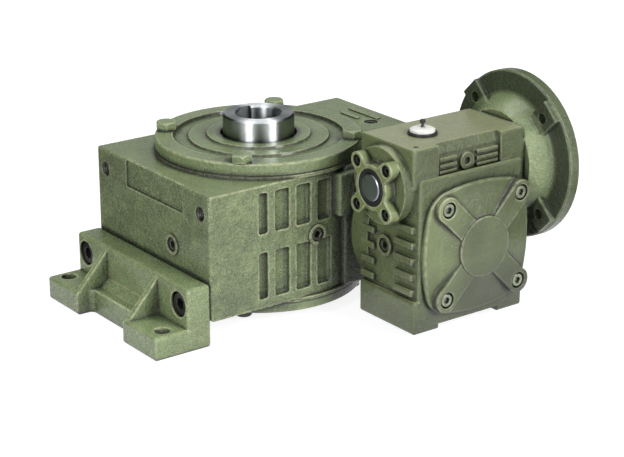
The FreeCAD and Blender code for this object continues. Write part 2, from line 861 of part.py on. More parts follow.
def panel_ribs():
    front = box_front + panel_bar_edge
    deep = box_front + panel_depth + panel_bar_edge
    middle = second_centres + panel_shift
    level = (panel_low + panel_high) / 2
    boss = rod_y(panel_boss_radius, front, deep, middle, level)
    ribs = [boss.cut(rod_y(panel_boss_hole / 2, front - 1, deep + 1, middle, level))]
    for i in range(panel_bar_count):
        low = level + (i - panel_bar_count / 2) * panel_bar_pitch + (panel_bar_pitch - panel_bar_height) / 2
        for x0, x1 in ((box_x0 + base_pad + 2, middle - panel_bar_gap),
                       (middle + panel_bar_gap, box_x1 - base_pad - 2)):
            ribs.append(rounded_box(x0, x1, front, deep, low, low + panel_bar_height, panel_bar_edge))
    return ribs


def first_stage_hollows():
    return [rod_y(chamber_radius, seat_front - 1, chamber_back, second_centres, 0),
            rod_x(first_worm_tip + worm_room, tail_bearing_end, drive_bearing_start - worm_room,
                  stage_plane,
                  first_centres),
            rod_x(tail_bearing_dia / 2, tail_face - 1, tail_bearing_end + 1, stage_plane, first_centres),
            rod_x(drive_bearing_dia / 2, drive_bearing_start, box_x1 + 1, stage_plane, first_centres),
            rod_x(first_worm_tip + 2 * wheel_room, tail_bearing_end, box_x1, stage_plane, first_centres),
            rod_y(stage_seal_dia / 2, chamber_back - 1, chamber_back + stage_seal_width, second_centres, 0),
            rod_y(stage_shaft_dia / 2 + wheel_room, chamber_back - 1, 0, second_centres, 0),
            rod_y(worm_bearing_dia / 2 - rear_spigot_wall, joint_face, 0, second_centres, 0),
            box(box_x0 + base_pad, box_x1 - base_pad, seat_front - 1, box_back + 1, box_bottom - 1,
                box_bottom + base_recess)]


def first_stage_holes():
    holes = []
    for x, z in ring_points(joint_screw_circle / 2, 4, 45):
        holes.append(rod_y(m8 / 2 + hole_play, chamber_back - 1, joint_face + 1, second_centres + x, z))
    for x in (-first_cover_screw, first_cover_screw):
        for z in (-first_cover_screw, first_cover_screw):
            holes.append(rod_y(m8 / 2, seat_front - 1, seat_front + cover_screw_hold + 1,
                               second_centres + x, z))
    for y, z in ring_points(flange_screw_circle / 2, 4, 45):
        holes.append(rod_x(m8 / 2, box_x1 - flange_screw_hold - spare_thread, box_x1 + 1, stage_plane + y,
                           first_centres + z))
    for y in (-tail_cover_pitch, tail_cover_pitch):
        for z in (-tail_cover_pitch, tail_cover_pitch):
            holes.append(rod_x(m6 / 2, tail_face - 1, tail_face + tail_screw_hold + 1, stage_plane + y,
                               first_centres + z))
    holes.append(rod_x(plug_radius, box_x0, box_x0 + side_step + plug_depth,
                       stage_plane + first_plug_shift, 0))
    holes.append(rod_z(plug_radius, box_top - plug_depth, box_top + 1, *breather_place))
    holes.append(rod_z(dowel_dia / 2, box_top - dowel_depth, box_top + 1, box_x0 + core_lap,
                       box_front + core_lap))
    return holes


breather_place = (second_centres - breather_from_worm, stage_plane)


def stage_joint_screws():
    screw = cap_screw(m8, joint_face - chamber_back + joint_screw_hold)
    places = ring_points(joint_screw_circle / 2, 4, 45)
    return group([placed(screw, V(second_centres + x, chamber_back, z), FRONT) for x, z in places])


# First-stage cover
def cover_outline(half, y):
    """A square with bowed sides and round corners, centred on the wheel axis and a little to the left."""
    cx = second_centres + first_cover_shift
    flat = half - first_cover_corner
    bow = half - first_cover_bulge
    reach = bow - first_cover_corner * (1 - math.sqrt(0.5))
    edges = []
    for i in range(4):
        turn = i * math.pi / 2
        sides = ((bow, -flat), (half, 0), (bow, flat), (reach, reach), (flat, bow))
        points = [V(cx + a * math.cos(turn) - b * math.sin(turn), y,
                    a * math.sin(turn) + b * math.cos(turn))
                  for a, b in sides]
        edges.append(Part.Arc(points[0], points[1], points[2]).toShape())
        edges.append(Part.Arc(points[2], points[3], points[4]).toShape())
    return Part.Face(Part.Wire(edges))


def first_stage_cover():
    plate = cover_outline(first_cover_half, seat_front).extrude(V(0, -first_cover_plate, 0))
    rim = [e for e in plate.Edges if e.BoundBox.YMax < seat_front - first_cover_plate + 0.1]
    plate = plate.makeFillet(first_cover_edge, rim)
    level = seat_front - first_cover_plate
    cone = Part.makeCone(first_cover_half - first_cover_cone_inset, first_cover_boss, first_cover_cone,
                         V(second_centres, level, 0), FRONT)
    front = level - first_cover_rib
    boss = rod_y(first_cover_boss, front - first_cover_boss_rise, level, second_centres, 0)
    pieces = [cone, boss]
    reach = first_cover_screw * math.sqrt(2)
    for i in range(4):
        rib = box(0, reach, -first_cover_rib_width / 2, first_cover_rib_width / 2, 0, first_cover_rib)
        rib.rotate(V(), UP, 45 + 90 * i)
        rib.rotate(V(), RIGHT, 90)
        rib.translate(V(second_centres, level, 0))
        pieces.append(rib)
    for x, z in cover_screw_places():
        pieces.append(rod_y(first_cover_lug, front, seat_front, x, z))
    cover = joined(plate, *pieces)
    holes = []
    for x, z in cover_screw_places():
        holes.append(rod_y(m8 / 2 + hole_play, front - 1, seat_front + 1, x, z))
        holes.append(rod_y(head_share * m8 + cap_head_play, front - 1, front + cap_head_sink, x, z))
    hollow = rod_y(chamber_radius - chamber_room, level + first_cover_floor, seat_front + 1,
                   second_centres, 0)
    return cut_away(cover, hollow, *holes)


def cover_screw_places():
    span = (-first_cover_screw, first_cover_screw)
    return [(second_centres + x, z) for x in span for z in span]


def first_cover_screws():
    seat = seat_front - first_cover_plate - first_cover_rib + cap_head_sink
    screw = cap_screw(m8, seat_front - seat + cover_screw_hold, cap_head_low)
    return group([placed(screw, V(x, seat, z), FRONT) for x, z in cover_screw_places()])


# First-stage worm, made about Z and laid along +X
def first_worm():
    root = first_worm_pitch_dia / 2 - first_module * (1 + root_clearance_share)
    tail = tail_journal_dia / 2
    drive = drive_journal_dia / 2
    run_out = worm_half_turns * math.pi * first_module + thread_run_out
    end = pilot_floor - shaft_chamfer
    bore = motor_bore / 2
    tail_step = tail + bearing_step
    drive_step = drive + bearing_step
    profile = [(0, tail_end), (tail - 1, tail_end), (tail, tail_end + 1), (tail, tail_bearing_end),
               (tail_step, tail_bearing_end), (tail_step, second_centres - run_out),
               (root, second_centres - run_out),
               (root, second_centres + run_out), (drive_step, second_centres + run_out),
               (drive_step, drive_bearing_start), (drive, drive_bearing_start), (drive, end - 1),
               (drive - 1, end),
               (bore + 1, end), (bore, end - 1), (bore, end - motor_bore_depth),
               (0, end - motor_bore_depth)]
    thread = worm_thread(first_module, first_worm_pitch_dia)
    thread.translate(V(0, 0, second_centres))
    shaft = laid_along_x(turned(profile).fuse(thread), stage_plane, first_centres)
    half = motor_key_width / 2
    keyway = box(end - motor_bore_depth + 1, end + 1, stage_plane - half, stage_plane + half,
                 first_centres, first_centres + bore + motor_key_rise)
    return cut_away(shaft, keyway)


def tail_places():
    span = (-tail_cover_pitch, tail_cover_pitch)
    return [(stage_plane + y, first_centres + z) for y in span for z in span]


def tail_cover():
    """Four-lobed cap over the tail bearing, with a seal bore."""
    front = tail_face - tail_cover_thickness
    hub = rod_x(tail_cover_hub, front, tail_face, stage_plane, first_centres)
    pieces = []
    for y, z in tail_places():
        pieces.append(rod_x(tail_cover_lug, front, tail_face, y, z))
        arm = Part.makeBox(math.sqrt(2) * tail_cover_pitch, 2 * tail_cover_lug, tail_cover_thickness,
                           V(0, -tail_cover_lug, 0))
        direction = math.degrees(math.atan2(z - first_centres, y - stage_plane))
        arm.rotate(V(), UP, direction)
        arm.rotate(V(), V(1, 1, 1), 120)
        arm.translate(V(front, stage_plane, first_centres))
        pieces.append(arm)
    spigot = rod_x(tail_bearing_dia / 2 - running_gap, tail_face - 1, tail_bearing_start, stage_plane,
                   first_centres)
    cap = joined(hub, spigot, *pieces)
    tools = [rod_x(tail_journal_dia / 2 + wheel_room, front - 1, tail_bearing_start + 1, stage_plane,
                   first_centres),
             rod_x(tail_journal_dia / 2 + tail_relief, tail_face, tail_bearing_start + 1, stage_plane,
                   first_centres),
             rod_x(tail_seal_dia / 2, front - 1, front + 1 + tail_seal_width, stage_plane, first_centres)]
    for y, z in tail_places():
        tools.append(rod_x(m6 / 2 + hole_play, front - 1, tail_face + 1, y, z))
        tools.append(rod_x(head_share * m6 + tail_head_play, front - 1, front + tail_head_sink, y, z))
    return cut_away(cap, *tools)


def tail_cover_screws():
    seat = tail_face - tail_cover_thickness + tail_head_sink
    screw = cap_screw(m6, tail_face - seat + tail_screw_hold, tail_head_low)
    return group([placed(screw, V(seat, y, z), LEFT) for y, z in tail_places()])


# Motor flange, made about Z and laid along +X
def input_flange():
    spigot = drive_bearing_dia / 2 - running_gap
    seal = input_seal_dia / 2
    floor = box_x1 + flange_floor
    seal_floor = floor - input_seal_width
    profile = [(spigot, drive_bearing_end), (spigot, box_x1), (neck_root - 1, box_x1),
               (neck_root, box_x1 + 1),
               (neck_radius, flange_back), (flange_radius - 1.5, flange_back),
               (flange_radius, flange_back + 1.5),
               (flange_radius, flange_front - 1), (flange_radius - 1, flange_front),
               (pilot_radius, flange_front),
               (pilot_radius, pilot_floor), (flange_hollow, pilot_floor), (flange_hollow, floor),
               (seal, floor),
               (seal, seal_floor), (seal - seal_lip, seal_floor), (seal - seal_lip, drive_bearing_end)]
    flange = turned(profile)
    neck = [e for e in flange.Edges if abs(e.BoundBox.ZMin - flange_back) < 0.01
            and abs(e.BoundBox.ZMax - flange_back) < 0.01 and abs(e.BoundBox.XMax - neck_radius) < 0.01]
    flange = flange.makeFillet(neck_fillet, neck)
    tools = []
    pads = []
    pad_top = flange_back - motor_pad_rise
    pad_half = motor_pad_width / 2
    pad_root = flange_hollow + motor_pad_edge * 2
    pad_end = flange_radius - motor_pad_edge
    for x, y in ring_points(motor_circle / 2, 4, 45):
        pad = rounded_box(pad_root, pad_end, -pad_half, pad_half, pad_top,
                          flange_back + 2 * motor_pad_edge, motor_pad_edge)
        pad.rotate(V(), UP, math.degrees(math.atan2(y, x)))
        pads.append(pad)
        tools.append(rod_z(motor_hole_dia / 2, pad_top - 1, flange_front + 1, x, y))
    flange = joined(flange, *pads)
    for x, y in ring_points(flange_screw_circle / 2, 4, 45):
        tools.append(rod_z(m8 / 2 + hole_play, box_x1 - 1, floor + 1, x, y))
    return laid_along_x(cut_away(flange, *tools), stage_plane, first_centres)


def flange_screws():
    floor = box_x1 + flange_floor
    screw = cap_screw(m8, flange_floor + flange_screw_hold)
    places = ring_points(flange_screw_circle / 2, 4, 45)
    return group([placed(screw, V(floor, stage_plane + y, first_centres + z), RIGHT) for y, z in places])


# Foot brackets
def foot_bracket():
    """The bracket on the end block; the other end carries its mirror image."""
    face = left_face - foot_plate
    front = left_face - foot_reach
    pad_top = foot_bottom + foot_pad_height
    plate = rounded_box(face, left_face, -half_depth, half_depth, foot_bottom, foot_top, cast_radius)
    slab = rounded_box(front, left_face, -half_depth, half_depth, foot_bottom, pad_top, cast_radius)
    gap = half_depth - foot_pad_width
    over = 2 * foot_notch_corner
    notch = rounded_box(front - over, front + foot_front_recess, -gap, gap, foot_bottom - over,
                        pad_top + over,
                        foot_notch_corner)
    lap = face + foot_web_lap
    web = prism([V(face - foot_fillet, -gap, pad_top - 1), V(lap, -gap, pad_top - 1),
                 V(lap, -gap, pad_top + foot_fillet)], V(0, 2 * gap, 0))
    slab = slab.cut(notch)
    pieces = [slab, web]
    for inner in (-gap - gusset, gap):
        tip = front + gusset_drop
        low = pad_top - gusset_drop
        corners = [V(lap, inner, foot_top - gusset_drop), V(face, inner, foot_top - gusset_drop),
                   V(tip, inner, pad_top), V(tip, inner, low), V(lap, inner, low)]
        pieces.append(prism(corners, V(0, gusset, 0)))
    bracket = joined(plate, *pieces)
    tools = []
    for y in (-foot_screw_y, foot_screw_y):
        tools.append(rod_x(foot_screw_dia / 2 + foot_hole_play, face - 1, left_face + 1, y, -foot_screw_z))
        tools.append(rod_x(foot_counterbore / 2, front - 1, face + foot_head_sink, y, -foot_screw_z))
    for y in (-foot_hole_y, foot_hole_y):
        tools.append(rod_z(foot_hole_dia / 2, foot_bottom - 1, pad_top + 1, left_face - foot_hole_reach, y))
    return cut_away(bracket, *tools)


def foot_screws():
    depth = foot_plate - foot_head_sink
    screw = cap_screw(foot_screw_dia, depth + foot_screw_hold, foot_head_height)
    solids = []
    for y in (-foot_screw_y, foot_screw_y):
        solids.append(placed(screw, V(left_face - depth, y, -foot_screw_z), LEFT))
        solids.append(placed(screw, V(right_face + depth, y, -foot_screw_z), RIGHT))
    return group(solids)


# Breather on top of the first stage
def breather_base_ring():
    ring = turned([(0, 0), (breather_radius, 0), (breather_radius, breather_base - 0.5),
                   (breather_radius - 0.5, breather_base), (0, breather_base)])
    return placed(ring.fuse(rod_z(plug_radius - screw_gap, -9, 0)), V(*breather_place, box_top), UP)


def breather_top():
    radius = breather_radius - 1.5
    cap = turned([(0, 0), (radius, 0), (radius, breather_cap - 2), (radius - 3, breather_cap - 0.5),
                  (radius - 7, breather_cap), (0, breather_cap)])
    return placed(cap, V(*breather_place, box_top + breather_base), UP)


def breather_vent_pin():
    pin = turned([(0, 0), (2, 0), (1.2, 1.5), (1.2, 3), (2.6, 4), (2.6, breather_pin - 1),
                  (1.6, breather_pin),
                  (0, breather_pin)])
    return placed(pin, V(*breather_place, box_top + breather_base + breather_cap), UP)


# Write every piece
def save(name, shape):
    shape.exportStep("parts/" + name + ".step")


def save_bearing(name, rings, position, axis):
    for piece, suffix in zip(rings, ("outer_ring", "inner_ring", "balls")):
        save(name + "_" + suffix, placed(piece, position, axis))


os.makedirs("parts", exist_ok=True)

save("main_housing", main_housing())
save("top_cover", bearing_cover(cover_thickness, output_seal_width, cover_bolt_dia, True))
low_cover = bearing_cover(bottom_cover_thickness, bottom_seal_width, bottom_bolt_dia, False)
save("bottom_cover", turned_over(low_cover))
cover_bolt = hex_bolt(cover_bolt_dia, cover_thickness + cover_bolt_hold, hex_flats, hex_height)
save("top_cover_bolts", bolts_round(cover_bolt, cover_top, UP))
low_bolt = cap_screw(bottom_bolt_dia, bottom_cover_thickness + cover_bolt_hold, low_head_height)
save("bottom_cover_screws", bolts_round(low_bolt, bottom_cover_face, DOWN))

save("output_shaft", output_shaft())
save("output_wheel_hub", output_wheel_hub())
save("output_wheel_rim", output_wheel_rim())
save("output_wheel_key", wheel_key_block(0))
save("output_rim_screws", group(rim_screw_set(rim_screw_radius - screw_gap, rim_screw_length)))
upper_spacer = output_spacer()
save("output_spacers", group([upper_spacer, turned_over(upper_spacer)]))
output_bearing = bearing(journal_dia, output_bearing_dia, output_bearing_width)
bearing_middle = (bearing_start + bearing_end) / 2
save_bearing("top_bearing", output_bearing, V(0, 0, bearing_middle), UP)
save_bearing("bottom_bearing", output_bearing, V(0, 0, -bearing_middle), DOWN)
top_seal = lip_seal(nose_dia, output_seal_dia, output_seal_width)
top_seal_middle = cover_top + crown_step - seal_hood - output_seal_width / 2
save("output_seal_top", placed(top_seal, V(0, 0, top_seal_middle), UP))
bottom_seal = lip_seal(nose_dia, output_seal_dia, bottom_seal_width)
save("output_seal_bottom", placed(bottom_seal, V(0, 0, bottom_cover_face + bottom_seal_width / 2), DOWN))

save("second_worm_shaft", second_worm())
worm_bearing = bearing(worm_journal_dia, worm_bearing_dia, worm_bearing_width)
worm_bearing_middle = (worm_bearing_start + worm_bearing_end) / 2
save_bearing("rear_worm_bearing", worm_bearing, V(second_centres, worm_bearing_middle, 0), BACK)
save_bearing("front_worm_bearing", worm_bearing, V(second_centres, -worm_bearing_middle, 0), FRONT)
save("rear_worm_cover", rear_worm_cover())
save("rear_cover_screws", rear_cover_screws())
stage_seal = lip_seal(stage_shaft_dia, stage_seal_dia, stage_seal_width)
save("stage_seal", placed(stage_seal, V(second_centres, chamber_back + stage_seal_width / 2, 0), FRONT))
save("first_stage_wheel", first_stage_wheel())
save("first_stage_wheel_key", first_wheel_key(0))
save("wheel_circlip", wheel_circlip())

save("first_stage_housing", first_stage_housing())
save("stage_joint_screws", stage_joint_screws())
save("first_stage_cover", first_stage_cover())
save("first_stage_cover_screws", first_cover_screws())

save("first_worm_shaft", first_worm())
tail_bearing = bearing(tail_journal_dia, tail_bearing_dia, tail_bearing_width)
tail_middle = (tail_bearing_start + tail_bearing_end) / 2
save_bearing("tail_bearing", tail_bearing, V(tail_middle, stage_plane, first_centres), LEFT)
drive_bearing = bearing(drive_journal_dia, drive_bearing_dia, drive_bearing_width)
drive_middle = (drive_bearing_start + drive_bearing_end) / 2
save_bearing("drive_bearing", drive_bearing, V(drive_middle, stage_plane, first_centres), RIGHT)
save("tail_cover", tail_cover())
save("tail_cover_screws", tail_cover_screws())
tail_seal = lip_seal(tail_journal_dia, tail_seal_dia, tail_seal_width)
tail_seal_middle = tail_face - tail_cover_thickness + 1 + tail_seal_width / 2
save("tail_seal", placed(tail_seal, V(tail_seal_middle, stage_plane, first_centres), LEFT))
save("input_flange", input_flange())
save("flange_screws", flange_screws())
input_seal = lip_seal(drive_journal_dia, input_seal_dia, input_seal_width)
input_seal_middle = box_x1 + flange_floor - input_seal_width / 2
save("input_seal", placed(input_seal, V(input_seal_middle, stage_plane, first_centres), RIGHT))

left_foot = foot_bracket()
save("foot_bracket_left", left_foot)
save("foot_bracket_right", mirrored_in_x(left_foot, (left_face + right_face) / 2))
save("foot_bracket_screws", foot_screws())

plug = socket_plug(plug_radius, plug_depth)
save("filler_plug", placed(plug, V(*filler_place, half_height - plug_sink), UP))
save("level_plug", placed(plug, V(level_plug_x, plug_sink - half_depth - plug_boss_rise, 0), FRONT))
save("drain_plug", placed(plug, V(left_face - plug_boss_rise + plug_sink, drain_plug_y, drain_plug_z),
                          LEFT))
save("first_stage_plug", placed(plug, V(box_x0 + 1 + plug_sink, stage_plane + first_plug_shift, 0), LEFT))
save("breather_base", breather_base_ring())
save("breather_cap", breather_top())
save("breather_vent_pin", breather_vent_pin())
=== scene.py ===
import math

import bmesh
import bpy
from mathutils import Matrix, Vector


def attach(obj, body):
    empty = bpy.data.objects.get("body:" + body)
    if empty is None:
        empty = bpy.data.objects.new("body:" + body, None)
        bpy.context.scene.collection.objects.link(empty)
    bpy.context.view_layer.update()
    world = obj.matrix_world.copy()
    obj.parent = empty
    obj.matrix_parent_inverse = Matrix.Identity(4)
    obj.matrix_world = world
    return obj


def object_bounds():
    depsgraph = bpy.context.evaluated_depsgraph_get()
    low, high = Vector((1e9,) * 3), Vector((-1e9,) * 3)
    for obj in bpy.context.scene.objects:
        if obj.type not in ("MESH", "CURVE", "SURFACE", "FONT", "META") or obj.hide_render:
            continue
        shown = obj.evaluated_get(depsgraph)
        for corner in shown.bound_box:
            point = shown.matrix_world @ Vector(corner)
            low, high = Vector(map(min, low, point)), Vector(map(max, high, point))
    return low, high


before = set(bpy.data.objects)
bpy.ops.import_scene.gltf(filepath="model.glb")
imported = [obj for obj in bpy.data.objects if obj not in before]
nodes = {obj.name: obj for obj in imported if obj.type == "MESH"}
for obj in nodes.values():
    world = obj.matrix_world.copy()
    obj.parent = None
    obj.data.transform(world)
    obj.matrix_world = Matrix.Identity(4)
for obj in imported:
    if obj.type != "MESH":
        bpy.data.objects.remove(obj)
cad_low, cad_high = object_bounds()

MM = 0.001

# Camera, read from the photo's edges
CAMERA_AZIMUTH = math.radians(-36.66)
CAMERA_ELEVATION = math.radians(19.84)
CAMERA_PLACE = Vector((-0.9840, -1.4069, 0.5963))
CAMERA_LENS = 108.97
SENSOR_WIDTH = 36.0
NEAR_LIMIT = 0.05
FAR_LIMIT = 60.0

# Colours of the finishes and the studio, as linear values
PAINT = (0.187, 0.247, 0.114)
PAINT_PALE = (0.66, 0.68, 0.42)
PAINT_DEEP = (0.030, 0.038, 0.018)
GRIME_AND_SHADE = (0.010, 0.013, 0.008)
STEEL = (0.66, 0.67, 0.67)
SHAFT_STEEL = (0.60, 0.63, 0.64)
GROUND_STEEL = (0.462, 0.469, 0.469)
BLUED_STEEL = (0.27, 0.29, 0.33)
DARK_STEEL = (0.055, 0.058, 0.052)
ZINC = (0.27, 0.30, 0.22)
DULL_ZINC = (0.108, 0.120, 0.088)
BRONZE = (0.55, 0.33, 0.12)
IRON = (0.10, 0.10, 0.105)
RUBBER = (0.016, 0.016, 0.017)
NYLON = (0.78, 0.78, 0.74)
WHITE = (1.0, 1.0, 1.0)
FLOOR_GREY = (0.36, 0.36, 0.36)
CARD_BLACK = (0.01, 0.01, 0.01)

# Tints of the paint: the small stage is a little more olive
PLAIN_TINT = (1.0, 1.0, 1.0)
OLIVE_TINT = (1.04, 0.99, 0.88)

# Grain of the castings, in features per metre
CLOUD_SCALE = 17.0
MOTTLE_SCALE = 95.0
LUMP_SCALE = 210.0
SAND_SCALE = 430.0
FLECK_SCALE = 1000.0

# How much of the grain shows on the roughest casting, how much less on level tops, and its height
MOTTLE_SHARE = 0.5625
PIT_SHARE = 0.46
FLECK_SHARE = 0.42
TOP_SMOOTHING = 0.55
SAND_HEIGHT = 0.7
FLECK_HEIGHT = 0.25
LUMP_HEIGHT = 0.9
GRAIN_STRENGTH = 0.9
GRAIN_DEPTH = 3.6 * MM

# Grain of the other finishes, in features per metre, and how much steel shows on worn screws
TURNING_LINES = 5200.0
STAIN_SCALE = 60.0
OXIDE_SCALE = 300.0
SKIN_SCALE = 1200.0
MOULD_CLOUD_SCALE = 80.0
SCREW_WEAR = 0.7

# Dirt and painted shade in corners, painted shade in wide gaps, and oil and painted shade in bores and
# screw sockets: how sheltered they are where it starts and is full, its reach and its most
LIGHT_DIRT_AND_SHADE = {"start": 0.06, "full": 0.42, "reach": 3.5 * MM, "most": 0.9}
HOUSING_DIRT_AND_SHADE = {"start": 0.08, "full": 0.30, "reach": 6.0 * MM, "most": 0.85}
COVER_DIRT_AND_SHADE = {"start": 0.05, "full": 0.19, "reach": 9.0 * MM, "most": 0.9}
SMALL_STAGE_DIRT_AND_SHADE = {"start": 0.08, "full": 0.32, "reach": 6.0 * MM, "most": 0.55}
SMALL_COVER_DIRT_AND_SHADE = {"start": 0.08, "full": 0.32, "reach": 6.0 * MM, "most": 0.9}
GAP_SHADE = {"start": 0.40, "full": 0.78, "reach": 70.0 * MM, "most": 0.9}
SHAFT_OIL_AND_SHADE = {"start": 0.45, "full": 0.68, "reach": 45.0 * MM, "most": 0.9}
SCREW_OIL_AND_SHADE = {"start": 0.25, "full": 0.60, "reach": 4.0 * MM, "most": 0.95}

# Rays that look for sharp edges and for shelter, and the cosines at which a face looks along an axis
EDGE_SAMPLES = 6
SHELTER_SAMPLES = 8
FACING_START = 0.70
FACING_FULL = 0.97

# Places on the solids
SPARE_HOLES = [Vector((-121.2, y, 40.0)) * MM for y in (-81.0, 81.0)]
COVER_SEAT_Z = 62.3 * MM
COVER_RADIUS = 98.6 * MM
BREATHER_FOOT = Vector((68.0, -160.0, 99.7)) * MM
TAIL_SEAL_FACE = Vector((10.0, -160.0, 60.0)) * MM
NECK_RADIUS = 57.5 * MM

# Painted shadow, painted shade and darker paint by place: the range over which it grows and its share,
# and shares on faces
GAP_SHADOW_X = (17.0 * MM, 37.0 * MM)
GAP_SHADOW_FRONT = (45.0 * MM, 65.0 * MM)
GAP_SHADOW_SHARE = 0.95
BASE_DARKENING_DEPTH = (50.0 * MM, 60.0 * MM)
BASE_DARKENING_SHARE = 0.18
COVER_SHADE_X = (52.0 * MM, 85.0 * MM)
COVER_SHADE_SIDE_SHARE = 0.41
COVER_SHADE_DEPTH = (10.0 * MM, 36.0 * MM)
COVER_SHADE_LOW_SHARE = 0.30
DISC_RADIUS = (NECK_RADIUS, NECK_RADIUS + 4.0 * MM)
DISC_SHARE = 0.60
DISC_FACE_SHARE = 0.24
END_FACE_SHARE = 0.03
FRONT_FACE_SHARE = 0.34

# Outlines of turned pieces, in millimetres along the axis and out from it
OUTLINE_AXES = {
    "X": (Vector((1, 0, 0)), Vector((0, 0, 1))),
    "Z": (Vector((0, 0, 1)), Vector((1, 0, 0))),
}
THREAD_OUTLINE = ((0.6, 7.05), (1.4, 6.2), (1.6, 6.2), (2.4, 7.05))
THREAD_RISE = 2.0 * MM
MOUTH_OUTLINE = ((0.4, 7.0), (-0.1, 7.4), (-0.15, 7.9), (0.2, 8.1))
GRIP_OUTLINE = ((0.3, 12.8), (0.3, 13.1), (1.9, 13.1), (1.9, 12.8))
LIP_OUTLINE = (
    (0.2, 17.3), (-0.4, 16.9), (-0.3, 15.3), (0.1, 15.0),
    (0.1, 14.6), (-0.6, 14.1), (-0.5, 13.3), (0.2, 12.9),
)
GRIP_INSET = 0.18 * MM
GRIP_HEIGHT = 0.5 * MM
BEAD_RADIUS = 0.6 * MM
MERGE_DISTANCE = 0.001 * MM
SHARP_ANGLE = math.radians(35)

# Lamps: name, place, aim, width and height, watts, and whether gloss mirrors them
LAMPS = (
    ("front_light", (0.56, -2.40, 1.08), (0.0, -0.05, 0.0), (0.70, 1.40), 60.0, True),
    ("left_light", (-1.58, -0.76, 0.66), (0.0, 0.0, 0.0), (0.60, 1.25), 20.5, True),
    ("top_light", (0.30, 0.40, 1.80), (0.03, -0.05, 0.0), (1.20, 1.00), 11.5, True),
    ("right_light", (1.95, 0.35, 0.85), (0.0, 0.0, 0.0), (1.00, 1.00), 11.0, False),
    ("back_light", (-0.55, 1.95, 0.85), (0.0, 0.0, 0.0), (1.00, 1.00), 11.0, False),
)
ROOM_LIGHT = 0.09

# Upright cards: name, degrees round from the camera's side, width, distance and level
UPRIGHT_FLAGS = (
    ("middle_flag", 7, 1.0, 2.0, 0.0),
    ("left_flag", -85, 2.2, 2.0, 0.0),
    ("right_flag", 92, 2.2, 2.0, 0.0),
    ("left_back_flag", -136, 1.9, 2.0, 0.0),
    ("right_back_flag", 141, 1.9, 2.0, 0.0),
    ("back_flag", 182, 1.8, 2.2, 0.4),
)
FLAG_HEIGHT = 2.6
FLAG_MIDDLE = 1.32

# Cards on the floor: name, degrees round from the camera's side, width, near end and far end
FLOOR_FLAGS = (
    ("left_floor_flag", -124, 1.7, 0.22, 2.2),
    ("right_floor_flag", 137, 1.5, 0.26, 2.2),
)
FLOOR_FLAG_LIFT = 0.3 * MM
FLOOR_DROP = 0.2 * MM
FLOOR_WIDTH = 24.0
FLOOR_GLOW = 0.87


# Node helpers
def new_material(name):
    material = bpy.data.materials.new(name)
    material.use_nodes = True
    tree = material.node_tree
    return material, tree, tree.nodes["Principled BSDF"]


def set_sockets(node, values):
    for name, value in values.items():
        node.inputs[name].default_value = value


def opaque(colour):
    return (*colour, 1.0)


def grey(level):
    return (level, level, level)


def shade(colour, share):
    return tuple(channel * share for channel in colour)


def object_coords(tree):
    return tree.nodes.new("ShaderNodeTexCoord").outputs["Object"]


def noise(tree, coords, scale, detail, roughness):
    node = tree.nodes.new("ShaderNodeTexNoise")
    set_sockets(node, {"Scale": scale, "Detail": detail, "Roughness": roughness})
    tree.links.new(coords, node.inputs["Vector"])
    return node.outputs["Fac"]


def ramp(tree, factor, stops):
    node = tree.nodes.new("ShaderNodeValToRGB")
    elements = node.color_ramp.elements
    while len(elements) < len(stops):
        elements.new(0.5)
    for element, (place, colour) in zip(elements, stops):
        element.position = place
        element.color = opaque(colour)
    tree.links.new(factor, node.inputs["Fac"])
    return node.outputs["Color"]


def between(tree, value, start, end, least=0.0, most=1.0):
    """A mask that goes from least to most as a value of 0 to 1 goes from start to end."""
    return ramp(tree, value, [(start, grey(least)), (end, grey(most))])


def spread(tree, length, start_and_end, most):
    """A mask that grows from 0 to its most over a range of lengths, which are too short for a ramp."""
    node = tree.nodes.new("ShaderNodeMapRange")
    start, end = start_and_end
    set_sockets(node, {"From Min": start, "From Max": end, "To Max": most})
    tree.links.new(length, node.inputs["Value"])
    return node.outputs["Result"]


def mixed(tree, factor, first, second, blend="MIX"):
    node = tree.nodes.new("ShaderNodeMix")
    node.data_type = "RGBA"
    node.blend_type = blend
    tree.links.new(factor, node.inputs["Factor"])
    for value, socket in ((first, node.inputs["A"]), (second, node.inputs["B"])):
        if isinstance(value, tuple):
            socket.default_value = opaque(value)
        else:
            tree.links.new(value, socket)
    return node.outputs["Result"]


def maths(tree, operation, *values):
    node = tree.nodes.new("ShaderNodeMath")
    node.operation = operation
    for value, socket in zip(values, node.inputs):
        if isinstance(value, (int, float)):
            socket.default_value = value
        else:
            tree.links.new(value, socket)
    return node.outputs[0]


def product(tree, first, *others):
    for other in others:
        first = maths(tree, "MULTIPLY", first, other)
    return first


def total(tree, first, *others):
    for other in others:
        first = maths(tree, "ADD", first, other)
    return first


def rounded_normal(tree, radius):
    """Normals that are rounded over sharp edges."""
    bevel = tree.nodes.new("ShaderNodeBevel")
    bevel.samples = EDGE_SAMPLES
    bevel.inputs["Radius"].default_value = radius
    return bevel.outputs["Normal"]


def on_edges(tree, rounded):
    """A mask that is 0 on faces and grows on the edges where the rounded normals lean away."""
    geometry = tree.nodes.new("ShaderNodeNewGeometry")
    dot = tree.nodes.new("ShaderNodeVectorMath")
    dot.operation = "DOT_PRODUCT"
    tree.links.new(rounded, dot.inputs[0])
    tree.links.new(geometry.outputs["Normal"], dot.inputs[1])
    return maths(tree, "SUBTRACT", 1.0, dot.outputs["Value"])


def bump(tree, height, strength, distance, normal):
    node = tree.nodes.new("ShaderNodeBump")
    set_sockets(node, {"Strength": strength, "Distance": distance})
    tree.links.new(height, node.inputs["Height"])
    tree.links.new(normal, node.inputs["Normal"])
    return node.outputs["Normal"]


